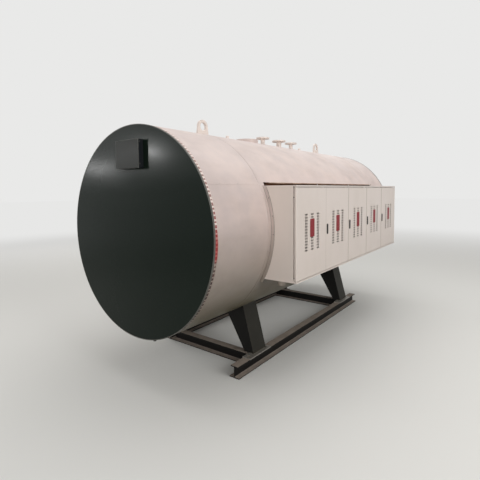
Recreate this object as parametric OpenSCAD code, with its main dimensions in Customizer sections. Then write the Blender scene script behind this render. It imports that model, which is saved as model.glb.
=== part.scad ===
// Horizontal electric boiler: a clad drum on a beam frame, with a long switch cabinet on its side.
// Millimetres. +Z is up, the drum lies along Y, its front plate faces -Y, the cabinet is at +X.
// The origin is on the floor, under the middle of the whole outline.

/* [Drum] */
// Diameter of the outer casing
casing_d = 1644; // [1400:2:1800]
// Length of the drum from front plate to rear plate
casing_len = 3800; // [3700:10:4600]
// Free height between the floor and the underside of the casing
drum_clear = 408; // [340:1:520]
// Sheet thickness of the casing
casing_t = 2; // [1:0.5:4]
// Length of the front casing course, up to its ring seam
course_front_len = 635; // [300:5:640]
// Length of the rear casing course, from its ring seam
course_rear_len = 520; // [500:10:700]
// Insulation space between the pressure vessel and the casing sheet
insulation = 58; // [40:1:90]
// Wall thickness of the pressure vessel
vessel_t = 12; // [8:1:20]
// Distance from each end plate to the vessel's end
head_setback = 200; // [160:5:260]
// Thickness of the vessel's flat heads
head_t = 16; // [10:1:30]
// Width of each ring that holds the casing off the vessel
spacer_w = 30; // [20:1:60]

/* [End plates] */
// Thickness of the flat end plates
plate_t = 4; // [2:0.5:8]
// How far the end plates sit back in their rims
plate_recess = 1; // [0:0.5:5]
// Radial width of the rim that shows round an end plate
rim_face = 3; // [2:1:20]
// Length of the rim along the drum
rim_len = 12; // [10:1:30]
// How far the rim stands out over the casing sheet
rim_proud = 2; // [1:0.5:6]
// Radial width of the lip that an end plate rests against
rim_lip = 16; // [8:1:30]

/* [Base frame] */
// Height of the H-beams
beam_h = 100; // [80:1:150]
// Width of the H-beams' bottom flange
beam_w = 100; // [80:1:120]
// Width of the H-beams' top flange
beam_top_w = 76; // [60:1:120]
// Web thickness of the H-beams
beam_web = 6; // [4:0.5:10]
// Flange thickness of the H-beams
beam_flange = 8; // [6:0.5:12]
// Root radius between web and flange
beam_root = 8; // [4:1:12]
// Distance between the two runners, centre to centre
runner_pitch = 1042; // [980:2:1100]
// Length of the right runner
runner_len = 2660; // [2600:10:3000]
// Distance from the front plate to the right runner's front end
runner_start = 570; // [400:5:640]
// Distance from the front plate to the front cross-beam
cross_front_at = 812; // [660:2:840]
// Distance from the front plate to the rear cross-beam
cross_rear_at = 2815; // [2400:5:3000]

/* [Legs] */
// Distance from the front plate to the front legs
leg_front_at = 842; // [760:2:1000]
// Distance from the front plate to the rear legs
leg_rear_at = 2800; // [2400:5:2900]
// Length of a leg along the drum
leg_w = 195; // [150:1:240]
// Plate thickness of the legs
leg_plate = 10; // [6:1:16]
// Width of the leg's foot across the drum
foot_w = 98; // [80:1:130]
// How far the foot's outer edge stands in from the runner's outer edge
foot_inset = 48; // [30:1:60]
// Slope of the leg's outer plate, sideways per height
lean_outer = 0.268; // [0.2:0.004:0.32]
// Slope of the leg's inner edge, sideways per height
lean_inner = 0.6; // [0.45:0.01:0.65]
// Length of the bare foot plates
foot_plate_len = 330; // [320:5:420]
// Width of the bare foot plates
foot_plate_w = 84; // [70:1:98]
// Thickness of the bare foot plates
foot_plate_t = 8; // [6:1:15]
// Length of the slots in the foot plates
foot_slot_len = 44; // [20:1:60]
// Width of the slots in the foot plates
foot_slot_w = 24; // [12:1:30]
// Distance from a foot plate's end to its slot
foot_slot_edge = 30; // [12:1:34]
// How far the right foot plates sit forward of their legs' middle
foot_plate_forward = 34; // [0:1:60]
// How far the left foot plates sit back from their legs' middle
foot_plate_back = 50; // [46:1:80]

/* [Cabinet] */
// Length of the cabinet along the drum
cab_len = 2653; // [2560:1:2760]
// Distance from the front plate to the cabinet
cab_start = 690; // [650:2:700]
// Height of the cabinet
cab_h = 745; // [700:5:800]
// Distance of the cabinet's floor below the drum's axis
cab_drop = 391; // [340:1:430]
// How far the door faces stand out from the side of the casing
cab_depth = 214; // [180:1:280]
// Sheet thickness of the cabinet panels
sheet = 2; // [1:0.5:3]
// Height of the folded lips on roof and floor
lip = 12; // [10:1:30]
// Width of the frame posts behind the door seams
post_w = 40; // [30:1:60]
// Depth of the frame posts
post_d = 36; // [25:1:50]
// Depth of the top and bottom rails
rail_d = 44; // [40:1:60]
// Width of the curved strip that closes the end panels against the casing
strip_w = 18; // [15:1:40]
// Length of that strip's foot on the casing
strip_foot = 9; // [6:1:25]
// How far that strip runs on below the cabinet's floor
strip_over = 30; // [0:1:60]
// Height of the open joint in the casing above the roof
joint_h = 27; // [15:1:50]
// How far the open joint stays in from the cabinet's ends
joint_inset = 10; // [5:1:80]

/* [Doors] */
// Number of door leaves
door_count = 5; // [5]
// Distance from one door leaf to the next; the last leaf is wider and runs to the cabinet's end
leaf_pitch = 519; // [500:1:530]
// Gap round each door leaf
door_gap = 5; // [5:0.5:8]
// Depth of a folded door leaf
leaf_d = 20; // [16:1:30]
// Sheet thickness of a door leaf
leaf_t = 2; // [1:0.5:3]
// Gap between a door leaf and the posts behind it
back_gap = 8; // [7:0.5:12]
// Distance of the hinge axis from the leaf's edge and face, and the fold's radius
hinge_in = 7; // [6:0.5:9]
// Radius of the hinge pins
pin_r = 3; // [2:0.5:4]
// Length of a hinge pin below or above its rail
pin_len = 16; // [12:1:24]
// Radial clearance of a hinge pin in its leaf
pin_play = 0.3; // [0.2:0.05:0.5]

/* [Vents] */
// Columns of vent slots on a door leaf
vent_cols = 3; // [2:1:4]
// Rows of vent slots on a door leaf
vent_rows = 13; // [6:1:14]
// Distance between the columns
vent_col_pitch = 104; // [80:1:120]
// Distance between the rows
vent_row_pitch = 23.5; // [18:0.5:26]
// Length of a vent slot
vent_len = 50; // [30:1:70]
// Height of a vent slot
vent_h = 11; // [6:0.5:14]
// Distance from the cabinet's top to the first row
vent_drop = 230; // [150:5:280]

/* [Locks] */
// Height of a lock handle
lock_h = 90; // [70:1:130]
// Width of a lock handle
lock_w = 20; // [16:1:30]
// How far a lock handle stands out of the door
lock_proud = 8; // [6:1:30]
// Thickness of the lock's base plate
lock_plate_t = 4; // [2:0.5:6]
// Distance from the door's edge to the lock's middle
lock_in = 22; // [20:1:60]
// Distance of the lock's middle above the cabinet's floor
lock_up = 371; // [300:1:420]
// Radius of the lock's barrel
lock_barrel_r = 8; // [6:0.5:9]
// Length of the lock's barrel behind the door sheet
lock_barrel_len = 12; // [8:1:15]

/* [Lifting lugs] */
// Distance from the front plate to the front lug's middle
lug_front_at = 790; // [500:5:900]
// Distance from the rear plate to the rear lug's middle
lug_rear_in = 660; // [560:5:860]
// Plate thickness of the lugs
lug_t = 20; // [12:1:30]
// Radius of the lug's rounded top
lug_r = 62; // [52:1:80]
// Radius of the lug's eye
lug_eye_r = 37.5; // [25:0.5:40]
// Height of the eye above the casing
lug_eye_up = 86; // [70:1:120]
// Width of the lug where it leaves the casing
lug_base_w = 150; // [130:1:190]

/* [Nozzles] */
// Distance from the front plate to the front nozzle
nozzle_front_at = 1790; // [1750:5:1850]
// Distance from the front plate to the middle nozzle
nozzle_middle_at = 2140; // [2050:5:2180]
// Distance from the front plate to the rear nozzle
nozzle_rear_at = 2430; // [2380:5:2520]
// Height of the nozzle flanges above the casing
nozzle_up = 93; // [60:1:140]
// Thickness of the flanges
flange_t = 16; // [12:1:24]
// Thickness of the raised sealing face
face_t = 2; // [1:0.5:4]
// Gap between the raised face and the bolt holes
face_gap = 2; // [1:0.5:4]
// Outer diameter of the small flanges
flange_small_d = 150; // [140:1:160]
// Outer diameter of the large flange
flange_large_d = 165; // [155:1:180]
// Outer diameter of the small necks
neck_small_d = 48; // [40:1:56]
// Outer diameter of the large neck
neck_large_d = 60; // [54:1:76]
// Wall thickness of the necks
neck_t = 4; // [3:0.5:6]
// Bolt circle of the small flanges
bolts_small_pcd = 110; // [100:1:120]
// Bolt circle of the large flange
bolts_large_pcd = 125; // [118:1:134]
// Radius of the flange bolt holes
bolt_hole_r = 9; // [7:0.5:10]
// Bolt holes in a flange
bolt_count = 4; // [4:4:8]

/* [Small top fittings] */
// Distance from the front plate to the front coupling
coupling_front_at = 1154; // [1100:2:1200]
// Distance from the front plate to the rear coupling
coupling_rear_at = 2655; // [2600:5:2750]
// Outer diameter of the couplings
coupling_d = 34; // [20:1:40]
// Height of the couplings above the casing
coupling_up = 42; // [30:1:80]
// Distance from the front plate to the hand-hole cover's middle
cover_at = 1478; // [1420:2:1540]
// Diameter of the hand-hole cover
cover_d = 246; // [200:2:300]
// Height of the hand-hole cover's edge above the casing
cover_up = 32; // [20:1:50]
// Rise of the cover's domed top
cover_dome = 6; // [3:1:12]

/* [Control box] */
// Width of the box on the front plate
box_w = 276; // [200:2:320]
// Height of the box
box_h = 215; // [150:1:260]
// Depth of the box, with its face
box_depth = 46; // [30:1:80]
// Thickness of the box's face panel
box_face_t = 6; // [4:0.5:10]
// Corner radius of the box
box_corner_r = 5; // [2:0.5:12]
// Height of the box's middle above the drum's axis
box_up = 596; // [450:1:620]

/* [Cable gland] */
// Diameter of the gland under the cabinet
gland_d = 62; // [40:1:80]
// Length of the gland below the cabinet
gland_len = 44; // [15:1:60]
// Distance of the gland's middle from the cabinet's front end
gland_in = 44; // [40:1:120]
// Distance of the gland's middle from the side of the casing
gland_out = 56; // [40:1:110]

/* [Hidden] */

$fn = 48;
drum_fn = 160;
eps = 1;
// Clearance of a piece seated on a curved face
seat = 0.3;
// Clearance round a piece that passes through the casing sheet
pass = 1;

casing_r = casing_d / 2;
axis_z = drum_clear + casing_r;
crest_z = axis_z + casing_r;
vessel_r = casing_r - casing_t - insulation;
seam_front = course_front_len;
seam_rear = casing_len - course_rear_len;
sheet_r = casing_r - casing_t;

lug_rear_at = casing_len - lug_rear_in;
cab_face = casing_r + cab_depth;
cab_end = cab_start + cab_len;
cab_z0 = axis_z - cab_drop;
cab_z1 = cab_z0 + cab_h;
leaf_back = cab_face - leaf_d;
post_face = leaf_back - back_gap;
rail_z0 = cab_z0 + lip;
rail_z1 = cab_z1 - lip;
rail_face = cab_face - sheet;
leaf_z0 = rail_z0 + door_gap;
leaf_z1 = rail_z1 - door_gap;
pin_x = cab_face - hinge_in;

// The drum's axis and front plate, measured from the origin
axis_x = -(cab_face + lock_proud - casing_r - rim_proud) / 2;
front_y = -(casing_len - box_depth) / 2;

white = "#d8cbc2";
ivory = "#cdc1b7";
dark = "#272c29";
black = "#1c1a18";
base_brown = "#2a221d";
rust = "#6b4a3a";
bare = "#8c8880";

// The y of a door leaf's front edge and rear edge
function leaf_y0(i) = cab_start + (i - 1) * leaf_pitch + (i == 1 ? 0 : door_gap / 2);
function leaf_y1(i) = i == door_count ? cab_end : cab_start + i * leaf_pitch - door_gap / 2;
// The first leaf hangs on its front edge, all others on their rear edge
function hinge_y(i) = i == 1 ? leaf_y0(i) + hinge_in : leaf_y1(i) - hinge_in;

module placed() {
    translate([axis_x, front_y, 0]) children();
}

// A flat outline in X and Z, made thick along Y from y0 to y1
module along_y(y0, y1) {
    translate([0, y1, 0]) rotate([90, 0, 0]) linear_extrude(y1 - y0) children();
}

// A flat outline in Y and Z, made thick along X from x0 to x1
module along_x(x0, x1) {
    translate([x0, 0, 0]) rotate([90, 0, 90]) linear_extrude(x1 - x0) children();
}

module drum_cylinder(r, y0, y1) {
    along_y(y0, y1) translate([0, axis_z]) circle(r, $fn = drum_fn);
}

module drum_ring(r_out, r_in, y0, y1) {
    along_y(y0, y1) translate([0, axis_z]) difference() {
        circle(r_out, $fn = drum_fn);
        circle(r_in, $fn = drum_fn);
    }
}

// Section of a beam, standing on z = 0 and centred across: the top flange is narrower than the
// bottom one, and the roots at the web are rounded
module beam_section() {
    pocket_h = beam_h - 2 * beam_flange;
    difference() {
        union() {
            translate([-beam_w / 2, 0]) square([beam_w, beam_flange]);
            translate([-beam_top_w / 2, beam_h - beam_flange]) square([beam_top_w, beam_flange]);
            translate([-beam_web / 2 - beam_root, beam_flange - eps])
                square([beam_web + 2 * beam_root, pocket_h + 2 * eps]);
        }
        for (side = [-1, 1]) translate([side * (beam_web / 2 + beam_root), beam_h / 2]) {
            square([2 * beam_root, pocket_h - 2 * beam_root], center = true);
            for (up = [-1, 1]) translate([0, up * (pocket_h / 2 - beam_root)]) circle(beam_root);
        }
    }
}

// Both runners end together; the left one starts at the front cross-beam
module runner(side) {
    start = side < 0 ? cross_front_at : runner_start;
    color(base_brown) translate([side * runner_pitch / 2, 0, 0])
        along_y(start, runner_start + runner_len) beam_section();
}

// A cross-beam reaches to the runners' top flanges, its foot is cut back for their bottom flanges
module cross_beam(at) {
    reach = (runner_pitch - beam_top_w) / 2;
    foot = (runner_pitch - beam_w) / 2;
    color(base_brown) translate([0, at + beam_w / 2, 0]) difference() {
        along_x(-reach, reach) beam_section();
        for (side = [-1, 1]) translate([side * (foot + reach) / 2, 0, beam_flange / 2])
            cube([reach - foot, beam_w + eps, beam_flange + eps], center = true);
    }
}

// Outline of a right-hand leg in X and Z, from the foot plate up into the vessel
foot_out = runner_pitch / 2 + beam_w / 2 - foot_inset;
foot_z = beam_h + foot_plate_t;
leg_top = axis_z - foot_z;
function leg_outline(grow = 0) = [
    [foot_out + grow, foot_z],
    [foot_out + grow - lean_outer * leg_top, foot_z + leg_top],
    [foot_out - foot_w - grow - lean_inner * leg_top, foot_z + leg_top],
    [foot_out - foot_w - grow, foot_z]
];

// A leg is a channel: two tapered webs joined by a leaning outer plate
module leg(side, at) {
    color(base_brown) mirror([side < 0 ? 1 : 0, 0, 0]) difference() {
        along_y(at, at + leg_w) polygon(leg_outline());
        along_y(at + leg_plate, at + leg_w - leg_plate)
            translate([-leg_plate, 0]) polygon([
                [foot_out, foot_z - eps],
                [foot_out - lean_outer * (leg_top + eps), foot_z + leg_top + eps],
                [-casing_r, foot_z + leg_top + eps],
                [-casing_r, foot_z - eps]
            ]);
        drum_cylinder(vessel_r + seat, at - eps, at + leg_w + eps);
    }
}

// The hole that a leg needs through the casing sheet
module leg_passage(side, at) {
    mirror([side < 0 ? 1 : 0, 0, 0])
        along_y(at - pass, at + leg_w + pass) polygon(leg_outline(pass));
}

module foot_plate(side, at) {
    middle_y = at + leg_w / 2 + (side < 0 ? foot_plate_back : -foot_plate_forward);
    translate([side * runner_pitch / 2, middle_y, beam_h]) linear_extrude(foot_plate_t)
        difference() {
            square([foot_plate_w, foot_plate_len], center = true);
            for (end = [-1, 1])
                translate([0, end * (foot_plate_len / 2 - foot_slot_edge - foot_slot_w / 2)])
                    square([foot_slot_len, foot_slot_w], center = true);
        }
}

module foot_plates() {
    color(bare) for (side = [-1, 1]) for (at = [leg_front_at, leg_rear_at])
        foot_plate(side, at);
}

// The nozzle bores run on through the vessel's wall
module nozzle_bores() {
    for (at = [nozzle_front_at, nozzle_rear_at])
        translate([0, at, axis_z]) cylinder(r = neck_small_d / 2 - neck_t, h = casing_r + nozzle_up);
    translate([0, nozzle_middle_at, axis_z])
        cylinder(r = neck_large_d / 2 - neck_t, h = casing_r + nozzle_up);
}

module vessel_shell() {
    color(rust) difference() {
        drum_ring(vessel_r, vessel_r - vessel_t, head_setback, casing_len - head_setback);
        nozzle_bores();
    }
}

// The vessel's ends are flat plates, let into its shell
module vessel_head() {
    color(rust) drum_cylinder(vessel_r - vessel_t - seat, head_setback, head_setback + head_t);
}

module vessel_head_rear() {
    translate([0, casing_len, 0]) mirror([0, 1, 0]) vessel_head();
}

// Rings between vessel and casing: under each casing seam and near both ends
module spacer_rings() {
    ends = [head_setback, casing_len - head_setback - spacer_w];
    seams = [seam_front - spacer_w / 2, seam_rear - spacer_w / 2];
    color(bare) for (at = concat(ends, seams))
        drum_ring(sheet_r - seat, vessel_r + seat, at, at + spacer_w);
}

module casing_openings() {
    for (side = [-1, 1]) for (at = [leg_front_at, leg_rear_at]) leg_passage(side, at);
    for (at = [lug_front_at, lug_rear_at])
        translate([-lug_t / 2 - pass, at - lug_foot_w() / 2 - pass, axis_z])
            cube([lug_t + 2 * pass, lug_foot_w() + 2 * pass, casing_r + eps]);
    for (at = [nozzle_front_at, nozzle_rear_at])
        translate([0, at, axis_z]) cylinder(d = neck_small_d + 2 * pass, h = casing_r + eps);
    translate([0, nozzle_middle_at, axis_z])
        cylinder(d = neck_large_d + 2 * pass, h = casing_r + eps);
    for (at = [coupling_front_at, coupling_rear_at])
        translate([0, at, axis_z]) cylinder(d = coupling_d + 2 * pass, h = casing_r + eps);
    translate([vessel_r / 2, cab_start + joint_inset, cab_z1])
        cube([casing_r, cab_len - 2 * joint_inset, joint_h]);
}

module casing(y0, y1) {
    color(white) difference() {
        drum_ring(casing_r, sheet_r, y0, y1);
        casing_openings();
    }
}

// A rim: a square edge ring with an inner lip behind the end plate
module rim() {
    lip_at = plate_recess + plate_t;
    drum_ring(casing_r + rim_proud, casing_r - rim_face, 0, rim_len);
    drum_ring(casing_r - rim_face + eps, casing_r - rim_face - rim_lip, lip_at, rim_len);
}

module rims() {
    color(white) {
        rim();
        translate([0, casing_len, 0]) mirror([0, 1, 0]) rim();
    }
}

module front_plate() {
    color(dark) drum_cylinder(casing_r - rim_face - seat, plate_recess, plate_recess + plate_t);
}

module rear_plate() {
    color(dark) translate([0, casing_len, 0]) mirror([0, 1, 0])
        drum_cylinder(casing_r - rim_face - seat, plate_recess, plate_recess + plate_t);
}

// The lug spreads in straight lines from its round top down to the vessel
lug_shoulder = 1;
lug_slope = (lug_base_w / 2 - lug_r + lug_shoulder) / lug_eye_up;
function lug_half_w(below_eye) = lug_r - lug_shoulder + lug_slope * below_eye;
function lug_foot_w() = 2 * lug_half_w(lug_eye_up + casing_t + insulation);

module lug(at) {
    eye_z = crest_z + lug_eye_up;
    top = lug_half_w(0);
    foot = lug_half_w(eye_z - axis_z);
    color(white) translate([0, at, 0]) difference() {
        union() {
            along_x(-lug_t / 2, lug_t / 2) translate([0, eye_z]) circle(lug_r);
            along_x(-lug_t / 2, lug_t / 2)
                polygon([[-top, eye_z], [top, eye_z], [foot, axis_z], [-foot, axis_z]]);
        }
        along_x(-lug_t, lug_t) translate([0, eye_z]) circle(lug_eye_r);
        drum_cylinder(vessel_r + seat, -casing_r, casing_r);
    }
}

// A flanged nozzle with its raised face, set on the vessel
module nozzle(at, flange_d, neck_d, pcd) {
    top = crest_z + nozzle_up;
    color(white) translate([0, at, 0]) difference() {
        union() {
            translate([0, 0, axis_z]) cylinder(d = neck_d, h = top - axis_z);
            translate([0, 0, top - face_t - flange_t]) cylinder(d = flange_d, h = flange_t);
            translate([0, 0, top - face_t]) cylinder(d = pcd - 2 * (bolt_hole_r + face_gap), h = face_t);
            translate([0, 0, top - face_t - flange_t - neck_t])
                cylinder(d1 = neck_d, d2 = neck_d + 2 * neck_t, h = neck_t);
        }
        translate([0, 0, axis_z - eps]) cylinder(d = neck_d - 2 * neck_t, h = top - axis_z + 2 * eps);
        for (k = [0 : bolt_count - 1]) rotate((k + 0.5) * 360 / bolt_count)
            translate([pcd / 2, 0, top - face_t - flange_t - eps])
                cylinder(r = bolt_hole_r, h = flange_t + 2 * eps);
        drum_cylinder(vessel_r + seat, -flange_d, flange_d);
    }
}

module coupling(at) {
    chamfer = coupling_d / 10;
    translate([0, at, 0]) difference() {
        union() {
            translate([0, 0, axis_z]) cylinder(d = coupling_d, h = casing_r + coupling_up - chamfer);
            translate([0, 0, crest_z + coupling_up - chamfer])
                cylinder(d1 = coupling_d, d2 = coupling_d - 2 * chamfer, h = chamfer);
        }
        drum_cylinder(vessel_r + seat, -coupling_d, coupling_d);
    }
}

module couplings() {
    color(bare) {
        coupling(coupling_front_at);
        coupling(coupling_rear_at);
    }
}

// A round cap with a slightly domed top, its skirt cut to the casing's curve
module cap_outline(r, edge_z) {
    dome_r = (r * r + cover_dome * cover_dome) / (2 * cover_dome);
    square([r, edge_z]);
    intersection() {
        translate([0, edge_z]) square([r, cover_dome]);
        translate([0, edge_z + cover_dome - dome_r]) circle(dome_r, $fn = drum_fn);
    }
}

module handhole_cover() {
    color(white) translate([0, cover_at, 0]) difference() {
        rotate_extrude($fn = 96) cap_outline(cover_d / 2, crest_z + cover_up);
        rotate_extrude($fn = 96) cap_outline(cover_d / 2 - sheet, crest_z + cover_up - sheet);
        drum_cylinder(casing_r + seat, -cover_d, cover_d);
        translate([0, 0, -eps]) cylinder(d = cover_d + eps, h = axis_z);
    }
}

module box_outline(inset = 0) {
    r = box_corner_r;
    w = box_w - 2 * inset;
    h = box_h - 2 * inset;
    translate([0, axis_z + box_up]) {
        square([w - 2 * r, h], center = true);
        square([w, h - 2 * r], center = true);
        for (sx = [-1, 1]) for (sz = [-1, 1])
            translate([sx * (w / 2 - r), sz * (h / 2 - r)]) circle(r);
    }
}

module control_box() {
    color(black) along_y(-box_depth + box_face_t, plate_recess) box_outline(sheet);
}

module control_box_face() {
    color("#575956") along_y(-box_depth, -box_depth + box_face_t) box_outline();
}

// A tray with lips on its front side and both ends, open towards the drum
module tray() {
    x_in = casing_r / 2;
    difference() {
        translate([x_in, cab_start - sheet, cab_z0])
            cube([cab_face - x_in, cab_len + 2 * sheet, lip]);
        translate([x_in - eps, cab_start, cab_z0 + sheet])
            cube([cab_face - sheet - x_in + eps, cab_len, lip]);
    }
}

// What the cabinet's roof and floor leave free for the drum
module drum_side() {
    drum_cylinder(casing_r + seat, cab_start - 2 * sheet, cab_end + 2 * sheet);
}

module cabinet_floor() {
    color(ivory) difference() {
        tray();
        drum_side();
        translate([casing_r + gland_out, cab_start + gland_in, cab_z0 - eps])
            cylinder(d = gland_d / 2 + 2 * seat, h = sheet + 2 * eps);
    }
}

module cabinet_roof() {
    color(ivory) difference() {
        translate([0, 0, cab_z0 + cab_z1]) mirror([0, 0, 1]) tray();
        drum_side();
    }
}

// An end panel is cut to the drum's curve, its front edge folded inwards between the rails
module end_panel() {
    difference() {
        union() {
            along_y(0, sheet) translate([casing_r / 2, cab_z0 + sheet])
                square([post_face - casing_r / 2, cab_h - 2 * sheet]);
            along_y(0, lip) translate([post_face - sheet, rail_z0])
                square([sheet, rail_z1 - rail_z0]);
        }
        drum_cylinder(casing_r + seat, -eps, lip + eps);
    }
}

module cabinet_end_front() {
    color(ivory) translate([0, cab_start, 0]) end_panel();
}

module cabinet_end_rear() {
    color(ivory) translate([0, cab_end, 0]) mirror([0, 1, 0]) end_panel();
}

// The curved strip: an angle bent round the casing, one leg over the panel's lips, one on the sheet
module strip() {
    face = -sheet;
    intersection() {
        union() {
            drum_ring(casing_r + seat + strip_w, casing_r + seat, face - sheet, face);
            drum_ring(casing_r + seat + sheet, casing_r + seat, face - sheet - strip_foot, face);
        }
        translate([0, -strip_foot - 3 * sheet, cab_z0 - strip_over])
            cube([cab_face, strip_foot + 3 * sheet, cab_h + strip_over]);
    }
}

module cabinet_strips() {
    color(white) {
        translate([0, cab_start, 0]) strip();
        translate([0, cab_end, 0]) mirror([0, 1, 0]) strip();
    }
}

module cabinet_posts() {
    z0 = cab_z0 + lip;
    inner = [for (i = [1 : door_count - 1]) cab_start + i * leaf_pitch - post_w / 2];
    outer = [cab_start + sheet, cab_end - sheet - post_w];
    color(ivory) for (at = concat(inner, outer))
        translate([post_face - sheet - post_d, at, z0]) cube([post_d, post_w, cab_h - 2 * lip]);
}

// The rails run under the roof and over the floor
module cabinet_rails() {
    color(ivory) for (z = [cab_z0 + sheet, rail_z1])
        translate([rail_face - rail_d, cab_start + sheet, z])
            cube([rail_d, cab_len - 2 * sheet, lip - sheet]);
}

// A pin hangs from the top rail and one stands on the bottom rail for each door leaf
module hinge_pins() {
    color(bare) for (i = [1 : door_count]) for (z = [rail_z0, rail_z1 - pin_len])
        translate([pin_x, hinge_y(i), z]) cylinder(r = pin_r, h = pin_len);
}

module cable_gland() {
    neck_r = gland_d / 4;
    rounding = gland_d / 6;
    color(white) translate([casing_r + gland_out, cab_start + gland_in, cab_z0]) {
        cylinder(r = neck_r, h = sheet + lip / 4);
        translate([0, 0, -gland_len]) rotate_extrude() {
            translate([0, rounding]) square([gland_d / 2, gland_len - rounding]);
            square([gland_d / 2 - rounding, gland_len]);
            translate([gland_d / 2 - rounding, rounding]) circle(rounding);
        }
    }
}

// Plan of a door leaf in X and Y: square corners, but the fold at the hinge edge is round.
// It is drawn for a leaf that hangs on its rear edge
module leaf_plan(i, inset) {
    y0 = leaf_y0(i) + inset;
    y1 = leaf_y1(i) - inset;
    r = hinge_in - inset;
    x0 = leaf_back + (inset > 0 ? -eps : 0);
    x1 = cab_face - inset;
    translate([x0, y0]) square([x1 - x0 - r, y1 - y0]);
    translate([x0, y0]) square([x1 - x0, y1 - y0 - r]);
    translate([x1 - r, y1 - r]) circle(r);
}

module vent_slot() {
    square([vent_len - vent_h, vent_h], center = true);
    for (side = [-1, 1]) translate([side * (vent_len - vent_h) / 2, 0]) circle(d = vent_h, $fn = 24);
}

module vent_field() {
    for (col = [0 : vent_cols - 1]) for (row = [0 : vent_rows - 1])
        translate([(col - (vent_cols - 1) / 2) * vent_col_pitch, -row * vent_row_pitch]) vent_slot();
}

module leaf_body(i) {
    mid_y = (leaf_y0(i) + leaf_y1(i)) / 2;
    difference() {
        translate([0, 0, leaf_z0]) linear_extrude(leaf_z1 - leaf_z0) leaf_plan(i, 0);
        translate([0, 0, leaf_z0 + leaf_t]) linear_extrude(leaf_z1 - leaf_z0 - 2 * leaf_t)
            leaf_plan(i, leaf_t);
        along_x(cab_face - leaf_t - eps, cab_face + eps)
            translate([mid_y, cab_z1 - vent_drop]) vent_field();
        translate([pin_x, leaf_y1(i) - hinge_in, leaf_z0 - eps])
            cylinder(r = pin_r + pin_play, h = leaf_z1 - leaf_z0 + 2 * eps);
        if (i > 1) lock_hole(i);
    }
}

module lock_at(i) {
    translate([cab_face, leaf_y0(i) + lock_in, cab_z0 + lock_up]) children();
}

module lock_hole(i) {
    lock_at(i) translate([-leaf_t - eps, 0, 0]) rotate([0, 90, 0])
        cylinder(r = lock_barrel_r + seat, h = leaf_t + 2 * eps);
}

module door(i) {
    mid_y = (leaf_y0(i) + leaf_y1(i)) / 2;
    color(ivory) {
        if (i == 1) translate([0, 2 * mid_y, 0]) mirror([0, 1, 0]) leaf_body(i);
        else leaf_body(i);
    }
}

// Outline of a lock with round ends, standing up in Y and Z
module lock_outline(w, h) {
    square([w, h - w], center = true);
    for (up = [-1, 1]) translate([0, up * (h - w) / 2]) circle(d = w);
}

module door_lock(i) {
    handle_w = lock_w * 0.64;
    color(black) lock_at(i) {
        along_x(0, lock_plate_t) lock_outline(lock_w, lock_h);
        along_x(lock_plate_t, lock_proud) lock_outline(handle_w, lock_h - lock_w + handle_w);
        translate([-leaf_t - lock_barrel_len, 0, 0]) rotate([0, 90, 0])
            cylinder(r = lock_barrel_r, h = leaf_t + lock_barrel_len);
    }
}

placed() runner(-1);  // runner_left
placed() runner(1);  // runner_right
placed() cross_beam(cross_front_at);  // cross_beam_front
placed() cross_beam(cross_rear_at);  // cross_beam_rear
placed() leg(-1, leg_front_at);  // leg_front_left
placed() leg(1, leg_front_at);  // leg_front_right
placed() leg(-1, leg_rear_at);  // leg_rear_left
placed() leg(1, leg_rear_at);  // leg_rear_right
placed() foot_plates();
placed() vessel_shell();
placed() vessel_head();  // vessel_head_front
placed() vessel_head_rear();
placed() spacer_rings();
placed() casing(rim_len, seam_front);  // casing_front
placed() casing(seam_front, seam_rear);  // casing_middle
placed() casing(seam_rear, casing_len - rim_len);  // casing_rear
placed() rims();
placed() front_plate();
placed() rear_plate();
placed() lug(lug_front_at);  // lug_front
placed() lug(lug_rear_at);  // lug_rear
placed()  // nozzle_front
    nozzle(nozzle_front_at, flange_small_d, neck_small_d, bolts_small_pcd);
placed()  // nozzle_middle
    nozzle(nozzle_middle_at, flange_large_d, neck_large_d, bolts_large_pcd);
placed()  // nozzle_rear
    nozzle(nozzle_rear_at, flange_small_d, neck_small_d, bolts_small_pcd);
placed() couplings();
placed() handhole_cover();
placed() control_box();
placed() control_box_face();
placed() cabinet_roof();
placed() cabinet_floor();
placed() cabinet_end_front();
placed() cabinet_end_rear();
placed() cabinet_strips();
placed() cabinet_posts();
placed() cabinet_rails();
placed() hinge_pins();
placed() cable_gland();
placed() door(1);  // door_1
placed() door(2);  // door_2
placed() door(3);  // door_3
placed() door(4);  // door_4
placed() door(5);  // door_5
placed() door_lock(2);  // door_lock_2
placed() door_lock(3);  // door_lock_3
placed() door_lock(4);  // door_lock_4
placed() door_lock(5);  // door_lock_5
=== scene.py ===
# Looks for a horizontal electric boiler. Metres, Z up; the front plate faces -Y, the cabinet is at +X.
import math
import bpy
import bmesh
from mathutils import Matrix, Vector


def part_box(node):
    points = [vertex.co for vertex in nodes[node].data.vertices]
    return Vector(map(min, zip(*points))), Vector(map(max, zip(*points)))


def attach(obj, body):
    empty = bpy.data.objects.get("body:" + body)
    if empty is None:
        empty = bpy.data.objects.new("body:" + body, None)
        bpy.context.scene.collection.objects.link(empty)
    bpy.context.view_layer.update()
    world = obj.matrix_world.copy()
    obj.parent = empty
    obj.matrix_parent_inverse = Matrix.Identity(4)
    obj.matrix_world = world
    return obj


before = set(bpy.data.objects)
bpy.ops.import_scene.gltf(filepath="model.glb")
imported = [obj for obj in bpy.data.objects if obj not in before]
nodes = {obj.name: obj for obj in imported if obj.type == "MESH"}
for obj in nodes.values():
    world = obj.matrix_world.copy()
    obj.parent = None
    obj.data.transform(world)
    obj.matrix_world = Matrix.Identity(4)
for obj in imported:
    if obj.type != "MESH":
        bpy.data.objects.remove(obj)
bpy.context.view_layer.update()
scene = bpy.context.scene
scene.view_settings.view_transform = "Standard"
print("frame loaded:", len(nodes), "nodes")

mm = 0.001
fullTurn = 2 * math.pi
openTurn = fullTurn * 0.9999  # a band's two ends stay a hair apart, so that they don't merge

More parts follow.
